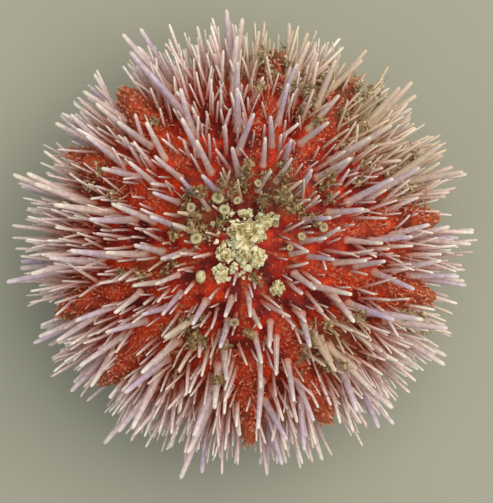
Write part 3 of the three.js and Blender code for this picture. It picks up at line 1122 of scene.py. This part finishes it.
@dataclass
class TubeFeet:
    """Tube feet: short velvety ones drawn in along the ten pore rows, and a few long threads."""

    shell: Shell
    silt: SiltCover
    row_pitch: float = 0.66 * MM
    across: float = 1.9  # degrees from one foot of a row to the next
    per_row: int = 7
    stray_across: float = 1.1  # degrees
    stray_along: float = 0.9  # in row pitches
    start: float = 14 * MM
    end_gap: float = 14 * MM
    length: float = 0.95 * MM
    crown_share: float = 0.4  # length near the apex, against that at the rim
    radius: float = 0.22 * MM
    shake: float = 20  # degrees
    thread_count: int = 120
    thread_length: float = 6.0 * MM
    thread_end: float = 0.42  # share of the outline past which no thread grows
    thread_radius: float = 0.09 * MM
    thread_shake: float = 50  # degrees
    rim_at: float = 0.5  # share of the outline
    rim_share: float = 0.15  # share of the outline
    length_range: tuple[float, float] = (0.6, 1.2)
    radius_range: tuple[float, float] = (0.8, 1.3)
    bend: float = 0.22  # how far a tip strays from straight, as a share of the length
    tan_rise: float = 1.1  # how fast the feet turn tan towards the rim
    tan_start: float = 0.3  # taken off that, so that the feet on the crown stay red
    tan_spread: float = 0.2  # by chance, either way
    silt_share: float = 0.3  # they shed most of the silt
    ground_room: float = 0.5 * MM
    seed: int = 21
    sides: int = 4
    stations: Stations = ((0.0, 1.1), (0.4, 0.85), (0.8, 1.05), (1.0, 0.6))

    def bundles(self, chance: np.random.Generator) -> Places:
        """Place the short feet of the pore rows."""
        rows = np.arange(self.start, self.shell.outline_length - self.end_gap, self.row_pitch)
        azimuths, lengths = [], []
        for ray in range(self.shell.rays):
            for side in (-1, 1):
                for number in range(self.per_row):
                    off = self.shell.pore_offset + (number - (self.per_row - 1) / 2) * self.across
                    stray = np.radians(chance.normal(0, self.stray_across, len(rows)))
                    azimuths.append(math.radians(self.shell.ray(ray) + side * off) + stray)
                    steps = number / self.per_row + chance.uniform(-1, 1, len(rows)) * self.stray_along
                    lengths.append(rows + steps * self.row_pitch)
        azimuth, length = np.concatenate(azimuths), np.concatenate(lengths)
        return self.stand(azimuth, length, self.length, self.radius, self.shake, chance)

    def threads(self, chance: np.random.Generator) -> Places:
        """Place the long threads, which lie over between the spines."""
        ray = chance.integers(0, self.shell.rays, self.thread_count)
        side = chance.choice([-1, 1], self.thread_count)
        azimuth = np.radians(self.shell.ray(ray) + side * self.shell.pore_offset)
        length = chance.uniform(self.start, self.shell.outline_length * self.thread_end, self.thread_count)
        threads = self.stand(
            azimuth, length, self.thread_length, self.thread_radius, self.thread_shake, chance
        )
        threads.lengths = np.maximum(threads.lengths, self.thread_length / 2)
        return threads

    def stand(
        self, azimuth: np.ndarray, length: np.ndarray, size: float, radius: float, shake: float,
        chance: np.random.Generator,
    ) -> Places:
        """Stand feet on the shell, each leaning and bending its own way.

        Args:
            azimuth: Their azimuths.
            length: Their places along the outline.
            size: Their usual length.
            radius: Their usual radius.
            shake: How far they lean any way, in degrees.
            chance: The source of the shaking.

        Returns:
            Where they stand.
        """
        count = len(length)
        tilt = self.shell.at(length)[2]
        sunk = self.shell.ridge(azimuth, length) - radius
        feet = self.shell.points(azimuth, length) + towards(tilt, azimuth) * sunk[:, None]
        lean = np.radians(chance.normal(0, shake, count))
        sway = np.radians(chance.normal(0, shake, count))
        rim = bell(length / self.shell.outline_length, self.rim_at, self.rim_share)
        share = self.crown_share + (1 - self.crown_share) * rim
        full = size * chance.uniform(*self.length_range, count) * share
        bends = chance.normal(0, self.bend, (count, 3)) * full[:, None]
        tan = np.clip(rim * self.tan_rise - self.tan_start, 0, 1)
        tan = np.clip(tan + chance.uniform(-self.tan_spread, self.tan_spread, count), 0, 1)
        radii = radius * chance.uniform(*self.radius_range, count)
        silt = self.silt.at(feet) * self.silt_share
        places = Places(feet, towards(tilt + lean, azimuth + sway), full, radii, tan, silt, bends)
        return places.kept(places.at(1)[:, 2] > self.ground_room)

    def build(self) -> list[bpy.types.Object]:
        """Model one foot and join the bundles and the threads."""
        chance = np.random.default_rng(self.seed)
        unit = turned_rod("one_tube_foot", self.sides, self.stations)
        bundles = joined_copies("tube_feet", unit, self.bundles(chance))
        threads = joined_copies("tube_foot_threads", unit, self.threads(chance))
        return [bundles, threads]


@dataclass(frozen=True)
class Disc:
    """One sucker disc near the apex, seen from above."""

    x: float
    y: float
    radius: float


@dataclass
class SuckerDiscs:
    """The broad suckers at the ends of the few tube feet that stand up near the apex."""

    shell: Shell
    discs: tuple[Disc, ...] = (
        Disc(-3.7 * MM, 7.0 * MM, 1.05 * MM),
        Disc(-2.7 * MM, 5.1 * MM, 0.95 * MM),
        Disc(-6.7 * MM, 0.9 * MM, 1.0 * MM),
        Disc(-0.8 * MM, 6.2 * MM, 0.7 * MM),
        Disc(6.3 * MM, 6.8 * MM, 1.15 * MM),
        Disc(-7.3 * MM, 5.2 * MM, 0.85 * MM),
        Disc(11.5 * MM, 2.5 * MM, 0.85 * MM),
        Disc(2.1 * MM, 8.4 * MM, 0.7 * MM),
        Disc(7.9 * MM, 1.1 * MM, 0.75 * MM),
        Disc(6.0 * MM, -0.4 * MM, 0.6 * MM),
        Disc(-1.2 * MM, -10.6 * MM, 0.9 * MM),
    )
    height: float = 3.4 * MM
    sink: float = 0.2 * MM  # of the stalk's foot in the shell
    lean: float = 0.04  # radians outwards for the first, twice that for the second, and so on
    uneven: float = 0.16
    lumps: float = 1.6  # how closely the dents of a disc lie
    oval: float = 0.88  # a disc's short way, against its long way
    sides: int = 24
    stations: Stations = (
        (0.0, 0.34), (0.7, 0.26), (0.82, 0.7), (0.92, 1.0), (0.98, 0.92), (1.0, 0.72), (0.985, 0.45),
        (0.955, 0.2),
    )

    def build(self) -> bpy.types.Object:
        """Model one sucker on its stalk and join one for each disc."""
        count = len(self.discs)
        radii = np.array([disc.radius for disc in self.discs])
        across = np.array([(disc.x, disc.y) for disc in self.discs])
        feet = np.column_stack([across, self.shell.crown_level(across)])
        lean = towards(self.lean * np.arange(1, count + 1), np.arctan2(across[:, 1], across[:, 0]))
        places = Places(
            feet - lean * self.sink, lean, np.full(count, self.height), radii,
            np.linspace(*DEALT_CHANCE, count), np.zeros(count),
        )
        unit = turned_rod("one_sucker", self.sides, self.stations)
        points = coordinates(unit)
        push = [1 + self.uneven * noise.noise(Vector(point) * self.lumps) for point in points]
        points[:, :2] *= np.array(push)[:, None] * (1.0, self.oval)
        set_coordinates(unit, points)
        return joined_copies("sucker_discs", unit, places)


# ---- Skin and mouth ----


@dataclass
class Skin:
    """The skin over the shell, raised into a boss under each spine."""

    shell: Shell
    silt: SiltCover
    segments: int = 256
    rings: int = 140
    large_boss: float = 0.5 * MM
    large_boss_radius: float = 1.35 * MM
    small_boss: float = 0.22 * MM
    small_boss_radius: float = 0.6 * MM
    swell: float = 0.18 * MM
    swell_size: float = 2.2 * MM
    ridge_swell: float = 0.5  # how far the same lumps raise or lower a ridge, as a share of it
    pore_width: float = 3.8  # degrees
    pore_level: float = 0.75  # how bright a pore row is before its blotches
    blotch_size: float = 4 * MM
    blotch_shift: tuple[float, float, float] = (5, 5, 5)  # picks the blotches
    rim_at: float = 0.55  # share of the outline
    rim_share: float = 0.12  # share of the outline
    rim_strength: float = 0.85
    rim_fade: float = 0.5  # how far the rim's colour takes the pore rows' away
    mouth_strength: float = 0.8

    def build(self, large: Places, small: Places) -> bpy.types.Object:
        """Shape a ball into the shell, raise its bosses and note what its finish needs.

        Args:
            large: Where the large spines stand.
            small: Where the small spines stand.

        Returns:
            The finished piece.
        """
        clear_selection()
        bpy.ops.mesh.primitive_uv_sphere_add(segments=self.segments, ring_count=self.rings, radius=1)
        piece = bpy.context.object
        piece.name = "urchin_skin"
        mesh = piece.data
        ball = coordinates(mesh)
        azimuth = np.arctan2(ball[:, 1], ball[:, 0])
        share = np.arccos(np.clip(ball[:, 2], -1, 1)) / math.pi
        length = share * self.shell.outline_length
        points = self.shell.points(azimuth, length)
        radius, _, tilt = self.shell.at(length)
        dish = np.where(share > 0.5, np.maximum(0, 1 - (radius / self.shell.mouth_radius) ** 2), 0)
        rise = self.large_boss * bell(nearest(points, large.feet), 0, self.large_boss_radius)
        rise += self.small_boss * bell(nearest(points, small.feet), 0, self.small_boss_radius)
        lumps = np.array([noise.noise(Vector(point) / self.swell_size) for point in points])
        rise += self.swell * lumps + self.shell.ridge(azimuth, length) * (1 + self.ridge_swell * lumps)
        points += towards(tilt, azimuth) * rise[:, None]
        points[:, 2] += dish * self.shell.mouth_depth
        set_coordinates(mesh, points)
        shift = Vector(self.blotch_shift)
        blotch = [noise.noise(Vector(point) / self.blotch_size + shift) for point in points]
        pore = self.shell.pore(azimuth, self.pore_width) * np.clip(self.pore_level + np.array(blotch), 0, 1)
        rim = bell(share, self.rim_at, self.rim_share) * self.rim_strength
        set_value(mesh, "pore", pore * (1 - self.rim_fade * rim))
        set_value(mesh, "rim", rim)
        set_value(mesh, "under", dish * self.mouth_strength)
        set_value(mesh, SILT, self.silt.at(points))
        bpy.ops.object.shade_smooth()
        return piece


@dataclass
class Mouth:
    """Five limy teeth that meet in the middle of the mouth."""

    shell: Shell
    teeth: int = 5
    ring: float = 1.3 * MM
    sink: float = 1.2 * MM
    length: float = 3.4 * MM
    radius: float = 1.0 * MM
    lip_length: float = 2.89 * MM
    lip_radius: float = 2.2 * MM
    sides: int = 8
    tooth_stations: Stations = ((0.0, 1.0), (0.4, 0.95), (0.75, 0.65), (0.95, 0.3), (1.0, 0.12))
    lip_stations: Stations = ((0.0, 1.0), (0.3, 0.95), (0.6, 0.7), (0.85, 0.45), (1.0, 0.3))

    def build(self) -> list[bpy.types.Object]:
        """Model a tooth and the lip, and join the teeth."""
        top = self.shell.ground_gap + self.shell.mouth_depth + self.sink
        even = np.ones(self.teeth)
        azimuth = np.radians(self.shell.ray(np.arange(self.teeth) + 0.5))
        feet = np.column_stack([self.ring * np.cos(azimuth), self.ring * np.sin(azimuth), even * top])
        directions = np.array([0, 0, top - self.length]) - feet
        directions /= np.linalg.norm(directions, axis=1, keepdims=True)
        places = Places(
            feet, directions, even * self.length, even * self.radius, np.linspace(*DEALT_CHANCE, self.teeth),
            even * 0,
        )
        middle = Places(
            np.array([[0, 0, top]]), np.array([[0.0, 0.0, -1.0]]), np.array([self.lip_length]),
            np.array([self.lip_radius]), np.array([0.5]), np.zeros(1),
        )
        tooth = turned_rod("one_tooth", self.sides, self.tooth_stations)
        teeth = joined_copies("mouth_teeth", tooth, places)
        lip = joined_copies("mouth_lip", turned_rod("one_lip", 2 * self.sides, self.lip_stations), middle)
        return [teeth, lip]


# ---- Sediment and grit ----


@dataclass
class SiltClumps:
    """Clumps of sediment bound with slime and caught among the spines, thickest where the cover is."""

    shell: Shell
    silt: SiltCover
    tries: int = 1100
    band: tuple[float, float] = (0.03, 0.55)  # shares of the outline between which clumps lie
    outwards: float = 0.3  # radians that a clump lies further out than straight over its place
    reach: float = 6 * MM
    low_power: float = 1.4  # makes low clumps commoner than high ones
    cover_power: float = 1.4  # makes clumps rare where the cover is thin
    grit_room: float = 0.4 * MM
    spread: float = 0.45 * MM
    crumbs: int = 34  # in a clump
    smallest: float = 0.1 * MM
    largest: float = 0.4 * MM
    crumb_height: tuple[float, float] = (1.0, 2.2)  # against its radius
    strands: int = 3  # in a clump
    strand_length: float = 1.8 * MM
    strand_lengths: tuple[float, float] = (0.5, 1.4)
    strand_radius: float = 0.07 * MM
    strand_radii: tuple[float, float] = (0.6, 1.5)
    strand_bend: float = 0.3
    strand_sides: int = 4
    strand_stations: Stations = ((0.0, 0.5), (0.2, 1.1), (0.4, 0.8), (0.6, 1.2), (0.8, 0.7), (1.0, 0.4))
    seed: int = 33

    def clumps(self, chance: np.random.Generator) -> tuple[np.ndarray, np.ndarray]:
        """Choose the middle of each clump, and give the cover there too."""
        azimuth = chance.uniform(0, math.tau, self.tries)
        length = chance.uniform(*self.band, self.tries) * self.shell.outline_length
        tilt = self.shell.at(length)[2]
        over = chance.random((self.tries, 1)) ** self.low_power * self.reach
        middles = self.shell.points(azimuth, length) + towards(tilt + self.outwards, azimuth) * over
        cover = self.silt.at(middles)
        keep = chance.random(self.tries) < cover**self.cover_power
        keep &= ~in_grit(middles, self.grit_room, 2)
        return middles[keep], cover[keep]

    def round_clumps(
        self, middles: np.ndarray, cover: np.ndarray, number: int, chance: np.random.Generator
    ) -> Places:
        """Scatter things round the middle of each clump, lying any way.

        Args:
            middles: The middles of the clumps.
            cover: The cover at each.
            number: How many things each clump has.
            chance: The source of the scatter.

        Returns:
            Their places, of unit length and radius.
        """
        feet = np.repeat(middles, number, axis=0)
        feet = feet + chance.normal(0, self.spread, feet.shape)
        count = len(feet)
        directions = any_way(count, chance)
        even = np.ones(count)
        return Places(feet, directions, even, even, chance.random(count), np.repeat(cover, number))

    def build(self) -> list[bpy.types.Object]:
        """Model the crumbs and the strands of every clump."""
        chance = np.random.default_rng(self.seed)
        middles, cover = self.clumps(chance)
        crumbs = self.round_clumps(middles, cover, self.crumbs, chance)
        count = len(crumbs.lengths)
        crumbs.radii = mostly_small(self.smallest, self.largest, count, chance)
        crumbs.lengths = crumbs.radii * chance.uniform(*self.crumb_height, count)
        strands = self.round_clumps(middles, cover, self.strands, chance)
        count = len(strands.lengths)
        strands.lengths = self.strand_length * chance.uniform(*self.strand_lengths, count)
        strands.radii = self.strand_radius * chance.uniform(*self.strand_radii, count)
        strands.bends = chance.normal(0, self.strand_bend, (count, 3)) * strands.lengths[:, None]
        crumb = crumb_shape("one_crumb", rough=1.2, shift=3.0)
        strand = turned_rod("one_strand", self.strand_sides, self.strand_stations)
        return [
            joined_copies("silt_crumbs", crumb, crumbs, smooth=False),
            joined_copies("silt_strands", strand, strands),
        ]


@dataclass
class GritCrumbs:
    """Loose chips of shell between and beside the large pieces of grit."""

    shell: Shell
    count: int = 240
    spread: tuple[float, float] = (1.5 * MM, 2.1 * MM)
    middle: tuple[float, float] = (-0.3 * MM, -0.4 * MM)
    smallest: float = 0.16 * MM
    largest: float = 0.55 * MM
    chip_height: tuple[float, float] = (0.8, 2.0)  # against its radius
    lift: float = 1.6 * MM
    low_power: float = 1.5  # makes low chips commoner than high ones
    seed: int = 12

    def build(self) -> bpy.types.Object:
        """Model a chip and join a copy at each place."""
        chance = np.random.default_rng(self.seed)
        across = chance.normal(0, 1, (self.count, 2)) * self.spread + self.middle
        level = self.shell.crown_level(across) + chance.random(self.count) ** self.low_power * self.lift
        radii = mostly_small(self.smallest, self.largest, self.count, chance)
        directions = any_way(self.count, chance)
        lengths = radii * chance.uniform(*self.chip_height, self.count)
        places = Places(
            np.column_stack([across, level]), directions, lengths, radii, chance.random(self.count),
            np.zeros(self.count),
        )
        chip = crumb_shape("one_chip", rough=1.5, shift=8.0)
        return joined_copies("grit_crumbs", chip, places, smooth=False)


@dataclass
class GritPiece:
    """One piece of broken shell and sand held on the crown, in the box of its solid."""

    node: str
    seed: int
    core: float = 0.56
    core_steps: int = 3
    flakes: int = 14
    flake_reach: tuple[float, float] = (0.35, 0.75)
    flake_length: tuple[float, float] = (0.5, 1.05)
    flake_width: tuple[float, float] = (0.4, 0.8)
    flake_thickness: tuple[float, float] = (0.22, 0.5)
    cell: float = 0.04  # size of the fused mesh's cells
    rough: float = 0.1
    lumps: float = 2.4  # how closely the pits lie
    pit_fade: float = 0.8
    pit_step: float = 2.0
    pit_layers: int = 4
    furthest_shift: float = 9  # picks the pits
    sharp_angle: float = 50  # degrees between faces that are not shaded as one

    def build(self) -> bpy.types.Object:
        """Model the piece: flakes of shell fused round a core, pitted and fitted to its solid's box."""
        low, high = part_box(self.node)
        chance = np.random.default_rng(self.seed)
        clear_selection()
        bpy.ops.mesh.primitive_ico_sphere_add(subdivisions=self.core_steps, radius=self.core)
        piece = bpy.context.object
        piece.name = f"{self.node}_shell"
        self.add_flakes(chance)
        fuse = piece.modifiers.new("fuse", "REMESH")
        fuse.mode = "VOXEL"
        fuse.voxel_size = self.cell
        bpy.ops.object.modifier_apply(modifier=fuse.name)
        points = coordinates(piece.data)
        shift = Vector(chance.uniform(-self.furthest_shift, self.furthest_shift, 3))
        pits = (self.pit_fade, self.pit_step, self.pit_layers)
        push = [noise.fractal(Vector(point) * self.lumps + shift, *pits) for point in points]
        points *= 1 + self.rough * np.array(push)[:, None]
        points -= (points.min(0) + points.max(0)) / 2
        points /= (points.max(0) - points.min(0)) / 2
        set_coordinates(piece.data, points * np.array((high - low) / 2) + np.array((high + low) / 2))
        bpy.ops.object.shade_smooth_by_angle(angle=math.radians(self.sharp_angle))
        return piece

    def add_flakes(self, chance: np.random.Generator) -> None:
        """Add the flakes in edit mode, each lying its own way round the core."""
        sides = (self.flake_length, self.flake_width, self.flake_thickness)
        bpy.ops.object.mode_set(mode="EDIT")
        for _ in range(self.flakes):
            place = chance.normal(0, 1, 3)
            place *= chance.uniform(*self.flake_reach) / np.linalg.norm(place)
            turn = chance.uniform(0, math.pi, 3)
            size = [chance.uniform(*side) for side in sides]
            bpy.ops.mesh.primitive_cube_add(size=1, location=tuple(place), rotation=tuple(turn), scale=size)
        bpy.ops.object.mode_set(mode="OBJECT")


# ---- The stage ----


@dataclass
class Stage:
    """The tray, the soft light and the camera straight above."""

    tray_size: float = 3.0
    tray_roughness: float = 0.6
    lamp_place: tuple[float, float, float] = (0.38, 0.24, 0.85)
    lamp_size: float = 1.2
    lamp_power: float = 9.4
    lamp_colour: str = "#FFF6EA"
    room_colour: str = "#E6EAEA"
    room_strength: float = 0.81
    camera_height: float = 0.37
    frame_span: float = 81.5 * MM  # what the long side of the picture spans at the animal's widest level
    look_at: tuple[float, float] = (0.57 * MM, -1.05 * MM)
    sensor: float = 36.0
    nearest_seen: float = 10 * MM

    def build(self, shell: Shell) -> None:
        """Lay the tray, and set up the light and the camera for the shell's widest level."""
        self.lay_tray()
        self.light()
        self.set_camera(shell.widest_level)

    def lay_tray(self) -> None:
        """Lay the tray's flat floor."""
        clear_selection()
        bpy.ops.mesh.primitive_plane_add(size=self.tray_size)
        tray = bpy.context.object
        tray.name = "tray_floor"
        tray.data.materials.append(TrayFloor("pale_tray_plastic", roughness=self.tray_roughness).material())

    def light(self) -> None:
        """Hang one large soft lamp and fill the rest with even light."""
        data = bpy.data.lights.new("key_lamp", "AREA")
        data.shape = "DISK"
        data.size = self.lamp_size
        data.energy = self.lamp_power
        data.color = linear(self.lamp_colour)[:3]
        lamp = bpy.data.objects.new("key_lamp", data)
        lamp.location = self.lamp_place
        lamp.rotation_euler = (-Vector(self.lamp_place)).to_track_quat("-Z", "Y").to_euler()
        bpy.context.collection.objects.link(lamp)
        world = bpy.data.worlds.new("soft_room")
        world.use_nodes = True
        room = world.node_tree.nodes["Background"]
        room.inputs["Color"].default_value = linear(self.room_colour)
        room.inputs["Strength"].default_value = self.room_strength
        bpy.context.scene.world = world
        bpy.context.scene.view_settings.view_transform = "Standard"

    def set_camera(self, level: float) -> None:
        """Put the camera straight above, so that the picture has its set span at a level."""
        data = bpy.data.cameras.new("camera")
        data.sensor_width = self.sensor
        data.lens = self.sensor * (self.camera_height - level) / self.frame_span
        data.clip_start = self.nearest_seen
        camera = bpy.data.objects.new("camera", data)
        camera.location = (*self.look_at, self.camera_height)
        bpy.context.collection.objects.link(camera)
        bpy.context.scene.camera = camera


def main() -> None:
    """Build the animal from the shell outwards, then the grit on it and the stage around it."""
    logging.basicConfig(level=logging.INFO, format="%(name)s: %(message)s")
    shell = Shell()
    silt = SiltCover()
    spines = LargeSpines(shell, silt)
    large = spines.places()
    coats = [make(shell, silt) for make in (secondary_coat, small_coat, fine_coat)]
    second, small, fine = (coat.places(large) for coat in coats)
    wet_skin = WetSkin("wet_skin", roughness=0.5, specular=0.12, coat=0.03).material()
    small_lime = small_spine_lime().material()
    fine_lime = fine_spine_lime().material()
    muscle = foot_muscle().material()
    bound_silt = FineSilt("bound_silt", roughness=0.85).material()
    grit = BrokenShell("broken_shell", roughness=0.8).material()

    settle(Skin(shell, silt).build(large, small), wet_skin, SKIN_SLOT, "urchin")
    settle(spines.build(large), spine_lime().material(), SKIN_SLOT)
    for coat, places, lime in zip(coats, (second, small, fine), (small_lime, small_lime, fine_lime)):
        settle(coat.build(places), lime, SKIN_SLOT)
    velvet, threads = TubeFeet(shell, silt).build()
    settle(velvet, muscle, SKIN_SLOT)
    settle(threads, fine_lime, SKIN_SLOT)
    settle(SuckerDiscs(shell).build(), sucker_skin().material(), SKIN_SLOT)
    teeth, lip = Mouth(shell).build()
    settle(teeth, small_lime, SKIN_SLOT)
    settle(lip, muscle, SKIN_SLOT)
    for piece in SiltClumps(shell, silt).build():
        settle(piece, bound_silt, GRIT_SLOT)
    settle(GritCrumbs(shell).build(), grit, GRIT_SLOT)
    for piece in (
        GritPiece("grit_upper", 41),
        GritPiece("grit_middle", 12),
        GritPiece("grit_left", 23),
        GritPiece("grit_right", 34),
        GritPiece("grit_lobe", 45),
        GritPiece("grit_chip", 56),
        GritPiece("grit_nodule", 67),
        GritPiece("grit_stray_left", 78, core=0.9, flakes=3, rough=0.06),
        GritPiece("grit_stray_right", 89),
    ):
        settle(piece.build(), grit, GRIT_SLOT, piece.node)
    Stage().build(shell)


if __name__ == "__main__":
    main()
